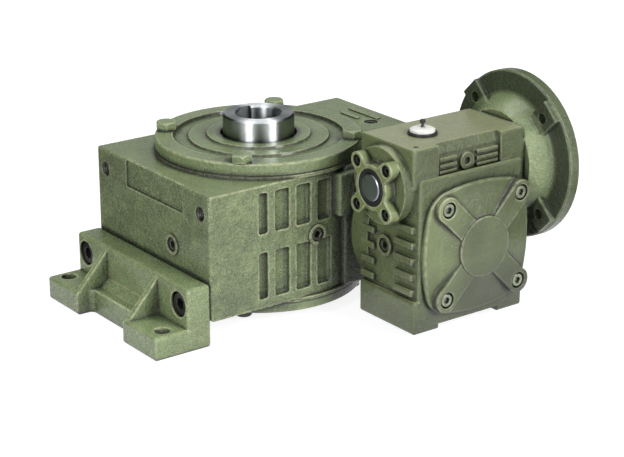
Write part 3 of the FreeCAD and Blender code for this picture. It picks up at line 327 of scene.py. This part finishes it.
def sheltered_dirt_and_shade(tree, dirt_and_shade):
    """A mask of the darkening in sheltered corners, grooves and gaps: painted shade, and with it dirt in
    small corners and oil in bores and screw sockets.
    """
    node = tree.nodes.new("ShaderNodeAmbientOcclusion")
    node.samples = SHELTER_SAMPLES
    node.inputs["Distance"].default_value = dirt_and_shade["reach"]
    sheltered = maths(tree, "SUBTRACT", 1.0, node.outputs["AO"])
    return between(tree, sheltered, dirt_and_shade["start"], dirt_and_shade["full"], most=dirt_and_shade["most"])


def facing(tree, axis, side):
    """A mask that is 1 on faces that look along the named axis, on the side given as 1 or -1."""
    geometry = tree.nodes.new("ShaderNodeNewGeometry")
    parts = tree.nodes.new("ShaderNodeSeparateXYZ")
    tree.links.new(geometry.outputs["Normal"], parts.inputs["Vector"])
    along = product(tree, parts.outputs[axis], side)
    return between(tree, along, FACING_START, FACING_FULL)


def place_parts(tree):
    """The object's own X, Y and Z."""
    parts = tree.nodes.new("ShaderNodeSeparateXYZ")
    tree.links.new(object_coords(tree), parts.inputs["Vector"])
    return parts.outputs


# Painted shadow, painted shade and darker paint
def gap_painted_shadow(tree):
    """Painted shadow in the gap between the two stages, off the level tops."""
    place = place_parts(tree)
    gap = spread(tree, place["X"], GAP_SHADOW_X, GAP_SHADOW_SHARE)
    front = spread(tree, product(tree, place["Y"], -1.0), GAP_SHADOW_FRONT, 1.0)
    upright = maths(tree, "SUBTRACT", 1.0, facing(tree, "Z", 1.0))
    return product(tree, gap, front, upright)


def housing_shade(tree):
    """Painted shade on the end face, and the painted shadow in the gap."""
    end = product(tree, facing(tree, "X", -1.0), END_FACE_SHARE)
    return maths(tree, "MAXIMUM", end, gap_painted_shadow(tree))


def front_shade(tree):
    """Painted shade on the small stage's face behind its cover, and its base, which is darker towards the
    bottom.
    """
    front = product(tree, facing(tree, "Y", -1.0), FRONT_FACE_SHARE)
    depth = product(tree, place_parts(tree)["Z"], -1.0)
    return total(tree, front, spread(tree, depth, BASE_DARKENING_DEPTH, BASE_DARKENING_SHARE))


def cover_painted_shade(tree):
    """Painted shade on the small stage's cover, which grows to the flange's side and downwards."""
    place = place_parts(tree)
    side = spread(tree, place["X"], COVER_SHADE_X, COVER_SHADE_SIDE_SHARE)
    depth = product(tree, place["Z"], -1.0)
    return total(tree, side, spread(tree, depth, COVER_SHADE_DEPTH, COVER_SHADE_LOW_SHARE))


def disc_shade(tree):
    """The disc and the pads of the motor flange, which are darker than its neck, and painted shade on the
    faces that look along -X.
    """
    place = place_parts(tree)
    across = maths(tree, "SUBTRACT", place["Y"], TAIL_SEAL_FACE.y)
    above = maths(tree, "SUBTRACT", place["Z"], TAIL_SEAL_FACE.z)
    squares = total(tree, product(tree, across, across), product(tree, above, above))
    disc = spread(tree, maths(tree, "POWER", squares, 0.5), DISC_RADIUS, DISC_SHARE)
    return total(tree, disc, product(tree, facing(tree, "X", -1.0), DISC_FACE_SHARE))


# Finishes
def casting_paint(name, grain, tone=1.0, tint=PLAIN_TINT, rounding=1.8 * MM, dirt_and_shade=LIGHT_DIRT_AND_SHADE,
                  shaded=None, painted_top_light=0.0):
    """Glossy grey-green paint over a sand casting.

    Grain is how rough the casting shows through, and rounding is the radius of its edges. Shaded is
    a function that gives a mask of where the coat is darker, mostly painted shade and shadow, and
    painted top light is the share of a painted highlight on the level tops.
    """
    material, tree, shader = new_material(name)
    coords = object_coords(tree)
    cloud = noise(tree, coords, CLOUD_SCALE, detail=6.0, roughness=0.68)
    mottle = noise(tree, coords, MOTTLE_SCALE, detail=3.0, roughness=0.6)
    lumps = noise(tree, coords, LUMP_SCALE, detail=3.0, roughness=0.5)
    sand = noise(tree, coords, SAND_SCALE, detail=4.0, roughness=0.65)
    fleck = noise(tree, coords, FLECK_SCALE, detail=2.0, roughness=0.5)
    normal = rounded_normal(tree, rounding)
    level_top = facing(tree, "Z", 1.0)
    rough = maths(tree, "MULTIPLY_ADD", level_top, -TOP_SMOOTHING * grain, grain)

    # The coat, with darker and lighter clouds and a finer mottle on rough castings
    colour = tuple(tone * channel * share for channel, share in zip(PAINT, tint))
    pale = shade(PAINT_PALE, tone)
    body = ramp(tree, cloud, [(0.30, shade(colour, 0.70)), (0.50, colour), (0.70, shade(colour, 1.22))])
    patches = between(tree, mottle, 0.34, 0.66, least=0.55, most=1.35)
    body = mixed(tree, product(tree, rough, rough, MOTTLE_SHARE), body, patches, "MULTIPLY")

    # Dark pits and pale flecks of the sand, and pale edges, partly worn paint and partly painted
    # highlights
    pits = between(tree, sand, 0.36, 0.53, least=1.0, most=0.0)
    body = mixed(tree, product(tree, pits, rough, PIT_SHARE), body, shade(PAINT_DEEP, tone))
    bright = between(tree, fleck, 0.52, 0.68)
    body = mixed(tree, product(tree, bright, rough, FLECK_SHARE), body, pale)
    bright_edges = between(tree, on_edges(tree, normal), 0.012, 0.08)
    uneven = between(tree, lumps, 0.36, 0.58, least=0.25)
    body = mixed(tree, product(tree, bright_edges, uneven), body, pale)

    # Painted shade and shadow from the shaded mask, a painted highlight on level tops, painted shade in
    # wide gaps, and dirt and painted shade in small corners
    if shaded:
        body = mixed(tree, shaded(tree), body, GRIME_AND_SHADE)
    if painted_top_light:
        body = mixed(tree, product(tree, level_top, painted_top_light), body, PAINT_PALE)
    body = mixed(tree, sheltered_dirt_and_shade(tree, GAP_SHADE), body, PAINT_DEEP)
    body = mixed(tree, sheltered_dirt_and_shade(tree, dirt_and_shade), body, GRIME_AND_SHADE)
    tree.links.new(body, shader.inputs["Base Color"])

    # Gloss, which is lower on rough castings, and the height of the grain
    gloss = between(tree, fleck, 0.3, 0.7, least=0.13 + 0.09 * grain, most=0.22 + 0.14 * grain)
    tree.links.new(gloss, shader.inputs["Roughness"])
    sand_height = product(tree, sand, SAND_HEIGHT)
    fleck_height = product(tree, fleck, FLECK_HEIGHT)
    lump_height = product(tree, lumps, LUMP_HEIGHT)
    height = product(tree, total(tree, sand_height, fleck_height, lump_height), rough)
    tree.links.new(bump(tree, height, GRAIN_STRENGTH, GRAIN_DEPTH, normal), shader.inputs["Normal"])
    set_sockets(shader, {"Specular IOR Level": 0.5, "Coat Weight": 0.30, "Coat Roughness": 0.12})
    return material


def turned_metal(name, colour, rough, axis, turned_round=False):
    """Bare metal with fine turning lines across the named axis; turned round, its gloss runs in bands."""
    material, tree, shader = new_material(name)
    coords = object_coords(tree)
    lines = tree.nodes.new("ShaderNodeTexWave")
    lines.wave_type = "BANDS"
    lines.bands_direction = axis
    set_sockets(lines, {"Scale": TURNING_LINES, "Distortion": 1.5})
    tree.links.new(coords, lines.inputs["Vector"])
    stain = noise(tree, coords, STAIN_SCALE, detail=5.0, roughness=0.65)
    body = ramp(tree, stain, [(0.25, shade(colour, 0.80)), (0.75, shade(colour, 1.08))])
    # Oil and painted shade darken the bore and other sheltered places
    body = mixed(tree, sheltered_dirt_and_shade(tree, SHAFT_OIL_AND_SHADE), body, GRIME_AND_SHADE)
    tree.links.new(body, shader.inputs["Base Color"])
    polish = between(tree, stain, 0.3, 0.7, least=rough * 0.75, most=rough * 1.3)
    tree.links.new(polish, shader.inputs["Roughness"])
    rounded = rounded_normal(tree, radius=0.6 * MM)
    normal = bump(tree, lines.outputs["Fac"], strength=0.05, distance=0.2 * MM, normal=rounded)
    tree.links.new(normal, shader.inputs["Normal"])
    shader.inputs["Metallic"].default_value = 1.0
    if turned_round:
        tangent = tree.nodes.new("ShaderNodeTangent")
        tangent.direction_type = "RADIAL"
        tangent.axis = axis
        tree.links.new(tangent.outputs["Tangent"], shader.inputs["Tangent"])
        set_sockets(shader, {"Anisotropic": 0.96, "Anisotropic Rotation": 0.25})
    return material


def dark_oxide(name, colour, rough):
    """Oxidised or plated steel of screws and plugs, worn bright on the edges, and oily with painted shade
    in recesses.
    """
    material, tree, shader = new_material(name)
    cloud = noise(tree, object_coords(tree), OXIDE_SCALE, detail=4.0, roughness=0.6)
    rounded = rounded_normal(tree, radius=0.5 * MM)
    body = ramp(tree, cloud, [(0.3, shade(colour, 0.7)), (0.7, shade(colour, 1.3))])
    bright_edges = product(tree, between(tree, on_edges(tree, rounded), 0.04, 0.22), SCREW_WEAR)
    body = mixed(tree, bright_edges, body, GROUND_STEEL)
    body = mixed(tree, sheltered_dirt_and_shade(tree, SCREW_OIL_AND_SHADE), body, GRIME_AND_SHADE)
    tree.links.new(body, shader.inputs["Base Color"])
    polish = between(tree, cloud, 0.3, 0.7, least=rough * 0.8, most=rough * 1.25)
    tree.links.new(polish, shader.inputs["Roughness"])
    normal = bump(tree, cloud, strength=0.12, distance=0.3 * MM, normal=rounded)
    tree.links.new(normal, shader.inputs["Normal"])
    shader.inputs["Metallic"].default_value = 0.9
    return material


def moulded(name, colour, rough, grain):
    """Moulded rubber or plastic with a fine matt skin."""
    material, tree, shader = new_material(name)
    coords = object_coords(tree)
    skin = noise(tree, coords, SKIN_SCALE, detail=3.0, roughness=0.55)
    cloud = noise(tree, coords, MOULD_CLOUD_SCALE, detail=3.0, roughness=0.5)
    body = ramp(tree, cloud, [(0.3, shade(colour, 0.85)), (0.7, shade(colour, 1.12))])
    tree.links.new(body, shader.inputs["Base Color"])
    matt = between(tree, skin, 0.3, 0.7, least=rough * 0.85, most=rough * 1.15)
    tree.links.new(matt, shader.inputs["Roughness"])
    rounded = rounded_normal(tree, radius=0.5 * MM)
    normal = bump(tree, skin, strength=grain, distance=0.3 * MM, normal=rounded)
    tree.links.new(normal, shader.inputs["Normal"])
    return material


def dress(material, *names):
    """Give a finish to CAD nodes by name."""
    for name in names:
        slots = nodes[name].data.materials
        slots.clear()
        slots.append(material)


def dress_castings():
    housing = casting_paint("rough_cast_paint", grain=1.0, rounding=3.4 * MM, dirt_and_shade=HOUSING_DIRT_AND_SHADE,
                            shaded=housing_shade)
    dress(housing, "main_housing")
    covers = casting_paint("cover_paint", grain=0.5, rounding=2.8 * MM, dirt_and_shade=COVER_DIRT_AND_SHADE, shaded=gap_painted_shadow)
    dress(covers, "top_cover", "bottom_cover", "rear_worm_cover")
    small_stage = casting_paint("small_stage_paint", grain=0.45, tone=0.64, tint=OLIVE_TINT,
                                rounding=2.4 * MM, dirt_and_shade=SMALL_STAGE_DIRT_AND_SHADE, shaded=front_shade,
                                painted_top_light=0.3)
    dress(small_stage, "first_stage_housing")
    tail_cover = casting_paint("tail_cover_paint", grain=0.2, tone=0.88, tint=OLIVE_TINT,
                               rounding=4.0 * MM, dirt_and_shade=SMALL_COVER_DIRT_AND_SHADE)
    dress(tail_cover, "tail_cover")
    small_cover = casting_paint("small_cover_paint", grain=0.25, tone=0.79, tint=OLIVE_TINT,
                                rounding=4.4 * MM, dirt_and_shade=SMALL_COVER_DIRT_AND_SHADE, shaded=cover_painted_shade)
    dress(small_cover, "first_stage_cover")
    flange = casting_paint("flange_paint", grain=0.5, tone=1.12, rounding=3.0 * MM, shaded=disc_shade)
    dress(flange, "input_flange")
    brackets = casting_paint("bracket_paint", grain=0.7, tone=1.22, rounding=3.6 * MM)
    dress(brackets, "foot_bracket_left", "foot_bracket_right")
    dress(casting_paint("bolt_paint", grain=0.5), "top_cover_bolts")


def dress_shafts_and_wheels():
    shaft = turned_metal("polished_shaft_steel", SHAFT_STEEL, rough=0.34, axis="Z", turned_round=True)
    dress(shaft, "output_shaft")
    first_worm = turned_metal("blued_worm_steel", BLUED_STEEL, rough=0.30, axis="X")
    dress(first_worm, "first_worm_shaft")
    ground = turned_metal("ground_worm_steel", GROUND_STEEL, rough=0.36, axis="X")
    dress(ground, "second_worm_shaft", "output_wheel_key", "first_stage_wheel_key",
          "output_spacers", "wheel_circlip")
    bearing_steel = turned_metal("bearing_steel", STEEL, rough=0.2, axis="Z")
    dress(bearing_steel, *[name for name in nodes if "_bearing_" in name])
    bronze = turned_metal("wheel_bronze", BRONZE, rough=0.3, axis="Z")
    dress(bronze, "output_wheel_rim", "first_stage_wheel")
    dress(turned_metal("hub_iron", IRON, rough=0.45, axis="Z"), "output_wheel_hub")


def dress_screws_and_seals():
    oxide = dark_oxide("screw_oxide", DARK_STEEL, rough=0.38)
    dress(oxide, *[name for name in nodes if name.endswith("_screws")])
    dress(dark_oxide("cover_screw_zinc", ZINC, rough=0.4), "first_stage_cover_screws")
    zinc = dark_oxide("plug_zinc", DULL_ZINC, rough=0.42)
    dress(zinc, *[name for name in nodes if name.endswith("_plug")])
    rubber = moulded("seal_rubber", RUBBER, rough=0.5, grain=0.1)
    dress(rubber, *[name for name in nodes if "seal" in name])
    black = moulded("breather_black", RUBBER, rough=0.42, grain=0.15)
    dress(black, "breather_base", "breather_vent_pin")
    dress(moulded("breather_nylon", NYLON, rough=0.45, grain=0.12), "breather_cap")


# Shapes
def add_object(name, data):
    added = bpy.data.objects.new(name, data)
    bpy.context.scene.collection.objects.link(added)
    return added


def add_shape(shape, name, material):
    """Make an object of a finished bmesh, with one material."""
    mesh = bpy.data.meshes.new(name)
    shape.to_mesh(mesh)
    shape.free()
    mesh.materials.append(material)
    return add_object(name, mesh)


def turn_outline(shape, outline, centre, axis, steps, turns=1, rise=0.0):
    """Turn a closed outline about an axis; a rise along the axis makes a screw thread."""
    along_axis, out_axis = OUTLINE_AXES[axis]
    corners = [shape.verts.new(centre + (along_axis * along + out_axis * out) * MM)
               for along, out in outline]
    sides = [shape.edges.new((corner, corners[number - 1])) for number, corner in enumerate(corners)]
    bmesh.ops.spin(shape, geom=corners + sides, cent=centre, axis=along_axis,
                   dvec=along_axis * rise / steps, angle=2 * math.pi * turns, steps=steps * turns,
                   use_merge=not rise)
    if rise:
        ends = [edge for edge in shape.edges if edge.is_boundary]
        bmesh.ops.holes_fill(shape, edges=ends, sides=len(outline))


def finish_piece(shape, name, material):
    """Close a shape, dress it and let it ride on the housing."""
    bmesh.ops.remove_doubles(shape, verts=shape.verts, dist=MERGE_DISTANCE)
    bmesh.ops.recalc_face_normals(shape, faces=shape.faces)
    piece = add_shape(shape, name, material)
    piece.data.shade_smooth()
    piece.data.set_sharp_from_angle(angle=SHARP_ANGLE)
    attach(piece, "housing")


# Small pieces that the solids leave out
def spare_hole_threads():
    """Screw threads in the two open holes of the end face."""
    shape = bmesh.new()
    for centre in SPARE_HOLES:
        turn_outline(shape, THREAD_OUTLINE, centre, "X", steps=28, turns=9, rise=THREAD_RISE)
    steel = dark_oxide("thread_steel", DARK_STEEL, rough=0.4)
    finish_piece(shape, "spare_hole_threads", steel)


def spare_hole_mouths():
    """Bare metal round the mouths of the open holes, where a countersink cut the paint."""
    shape = bmesh.new()
    for centre in SPARE_HOLES:
        turn_outline(shape, MOUTH_OUTLINE, centre, "X", steps=48)
    steel = dark_oxide("mouth_steel", ZINC, rough=0.35)
    finish_piece(shape, "spare_hole_mouths", steel)


def cover_joint_sealant():
    """Beads of sealing compound pressed out of the joints of the top and bottom covers."""
    shape = bmesh.new()
    for z in (-COVER_SEAT_Z, COVER_SEAT_Z):
        bead = bmesh.ops.create_circle(shape, cap_ends=False, segments=8, radius=BEAD_RADIUS)["verts"]
        bmesh.ops.rotate(shape, matrix=Matrix.Rotation(math.radians(90), 3, "X"), verts=bead)
        bmesh.ops.translate(shape, vec=(COVER_RADIUS, 0, z), verts=bead)
        loop = list({edge for corner in bead for edge in corner.link_edges})
        bmesh.ops.spin(shape, geom=bead + loop, cent=(0, 0, 0), axis=(0, 0, 1), angle=2 * math.pi,
                       steps=144, use_merge=True)
    compound = moulded("sealing_compound", RUBBER, rough=0.45, grain=0.2)
    finish_piece(shape, "cover_joint_sealant", compound)


def breather_grip():
    """Grip ribs round the breather's base."""
    shape = bmesh.new()
    turn_outline(shape, GRIP_OUTLINE, BREATHER_FOOT, "Z", steps=60)
    bmesh.ops.recalc_face_normals(shape, faces=shape.faces)

    def from_foot(face):
        return face.calc_center_median() - BREATHER_FOOT

    outer = [face for face in shape.faces
             if abs(face.normal.z) < 0.1 and face.normal.dot(from_foot(face)) > 0]
    outer.sort(key=lambda face: math.atan2(from_foot(face).y, from_foot(face).x))
    bmesh.ops.inset_individual(shape, faces=outer[::2], thickness=GRIP_INSET, depth=GRIP_HEIGHT)
    black = moulded("grip_black", RUBBER, rough=0.42, grain=0.15)
    finish_piece(shape, "breather_grip", black)


def tail_seal_lip():
    """Stepped rubber lip of the seal round the tail end of the first worm."""
    shape = bmesh.new()
    turn_outline(shape, LIP_OUTLINE, TAIL_SEAL_FACE, "X", steps=72)
    rubber = moulded("lip_rubber", RUBBER, rough=0.35, grain=0.1)
    finish_piece(shape, "tail_seal_lip", rubber)


# Studio
def place_camera():
    data = bpy.data.cameras.new("photo_camera")
    data.sensor_width = SENSOR_WIDTH
    data.lens = CAMERA_LENS
    data.clip_start = NEAR_LIMIT
    data.clip_end = FAR_LIMIT
    camera = add_object("photo_camera", data)
    level = math.cos(CAMERA_ELEVATION)
    back = Vector((
        math.sin(CAMERA_AZIMUTH) * level,
        -math.cos(CAMERA_AZIMUTH) * level,
        math.sin(CAMERA_ELEVATION),
    ))
    camera.location = CAMERA_PLACE
    camera.rotation_mode = "QUATERNION"
    camera.rotation_quaternion = back.to_track_quat("Z", "Y")
    bpy.context.scene.camera = camera


def seen_directly(tree):
    """1 for rays that show the background itself: from the camera, off gloss or through glass."""
    rays = tree.nodes.new("ShaderNodeLightPath").outputs
    seen = total(tree, rays["Is Camera Ray"], rays["Is Glossy Ray"], rays["Is Transmission Ray"])
    seen.node.use_clamp = True
    return seen


def flat_card(width, depth):
    card = bmesh.new()
    bmesh.ops.create_grid(card, x_segments=1, y_segments=1, size=0.5)
    bmesh.ops.scale(card, vec=(width, depth, 1.0), verts=card.verts)
    return card


def pale_floor():
    floor = flat_card(FLOOR_WIDTH, FLOOR_WIDTH)
    bmesh.ops.translate(floor, vec=(0, 0, cad_low.z - FLOOR_DROP), verts=floor.verts)
    material, tree, shader = new_material("pale_paper")
    set_sockets(shader, {"Base Color": opaque(FLOOR_GREY), "Emission Color": opaque(WHITE)})
    set_sockets(shader, {"Roughness": 0.9, "Specular IOR Level": 0.1})
    tree.links.new(product(tree, seen_directly(tree), FLOOR_GLOW), shader.inputs["Emission Strength"])
    add_shape(floor, "pale_floor", material)


def gloss_card(card, name, degrees, level):
    """A card turned round the output shaft that shows in gloss alone, black at level 0, white at 1."""
    turn = Matrix.Rotation(CAMERA_AZIMUTH + math.radians(degrees), 3, "Z")
    bmesh.ops.rotate(card, matrix=turn, verts=card.verts)
    material, _, shader = new_material(name)
    set_sockets(shader, {"Base Color": opaque(CARD_BLACK), "Emission Color": opaque(WHITE)})
    set_sockets(shader, {"Emission Strength": level, "Roughness": 1.0, "Specular IOR Level": 0.0})
    piece = add_shape(card, name, material)
    piece.visible_camera = False
    piece.visible_diffuse = False
    piece.visible_transmission = False
    piece.visible_shadow = False


def upright_flag(name, degrees, width, distance, level):
    """A card that stands at a distance from the output shaft."""
    card = flat_card(width, FLAG_HEIGHT)
    bmesh.ops.rotate(card, matrix=Matrix.Rotation(math.radians(90), 3, "X"), verts=card.verts)
    bmesh.ops.translate(card, vec=(0, -distance, cad_low.z + FLAG_MIDDLE), verts=card.verts)
    gloss_card(card, name, degrees, level)


def floor_flag(name, degrees, width, near, far):
    """A dark card on the floor, between two distances from the output shaft."""
    card = flat_card(width, far - near)
    middle = (near + far) / 2
    bmesh.ops.translate(card, vec=(0, -middle, cad_low.z + FLOOR_FLAG_LIFT), verts=card.verts)
    gloss_card(card, name, degrees, 0.0)


def soft_light(name, place, aim, size, power, gloss):
    data = bpy.data.lights.new(name, "AREA")
    data.shape = "RECTANGLE"
    data.size, data.size_y = size
    data.energy = power
    lamp = add_object(name, data)
    lamp.location = place
    lamp.visible_glossy = gloss
    direction = Vector(aim) - Vector(place)
    lamp.rotation_mode = "QUATERNION"
    lamp.rotation_quaternion = direction.to_track_quat("-Z", "Y")


def studio_light():
    world = bpy.data.worlds.new("pale_room")
    bpy.context.scene.world = world
    world.use_nodes = True
    tree = world.node_tree
    background = tree.nodes["Background"]
    background.inputs["Color"].default_value = opaque(WHITE)
    level = maths(tree, "MULTIPLY_ADD", seen_directly(tree), 1.0 - ROOM_LIGHT, ROOM_LIGHT)
    tree.links.new(level, background.inputs["Strength"])
    for lamp in LAMPS:
        soft_light(*lamp)
    for flag in UPRIGHT_FLAGS:
        upright_flag(*flag)
    for flag in FLOOR_FLAGS:
        floor_flag(*flag)


place_camera()
dress_castings()
dress_shafts_and_wheels()
dress_screws_and_seals()
spare_hole_threads()
spare_hole_mouths()
cover_joint_sealant()
breather_grip()
tail_seal_lip()
pale_floor()
studio_light()
bpy.context.scene.view_settings.view_transform = "Standard"
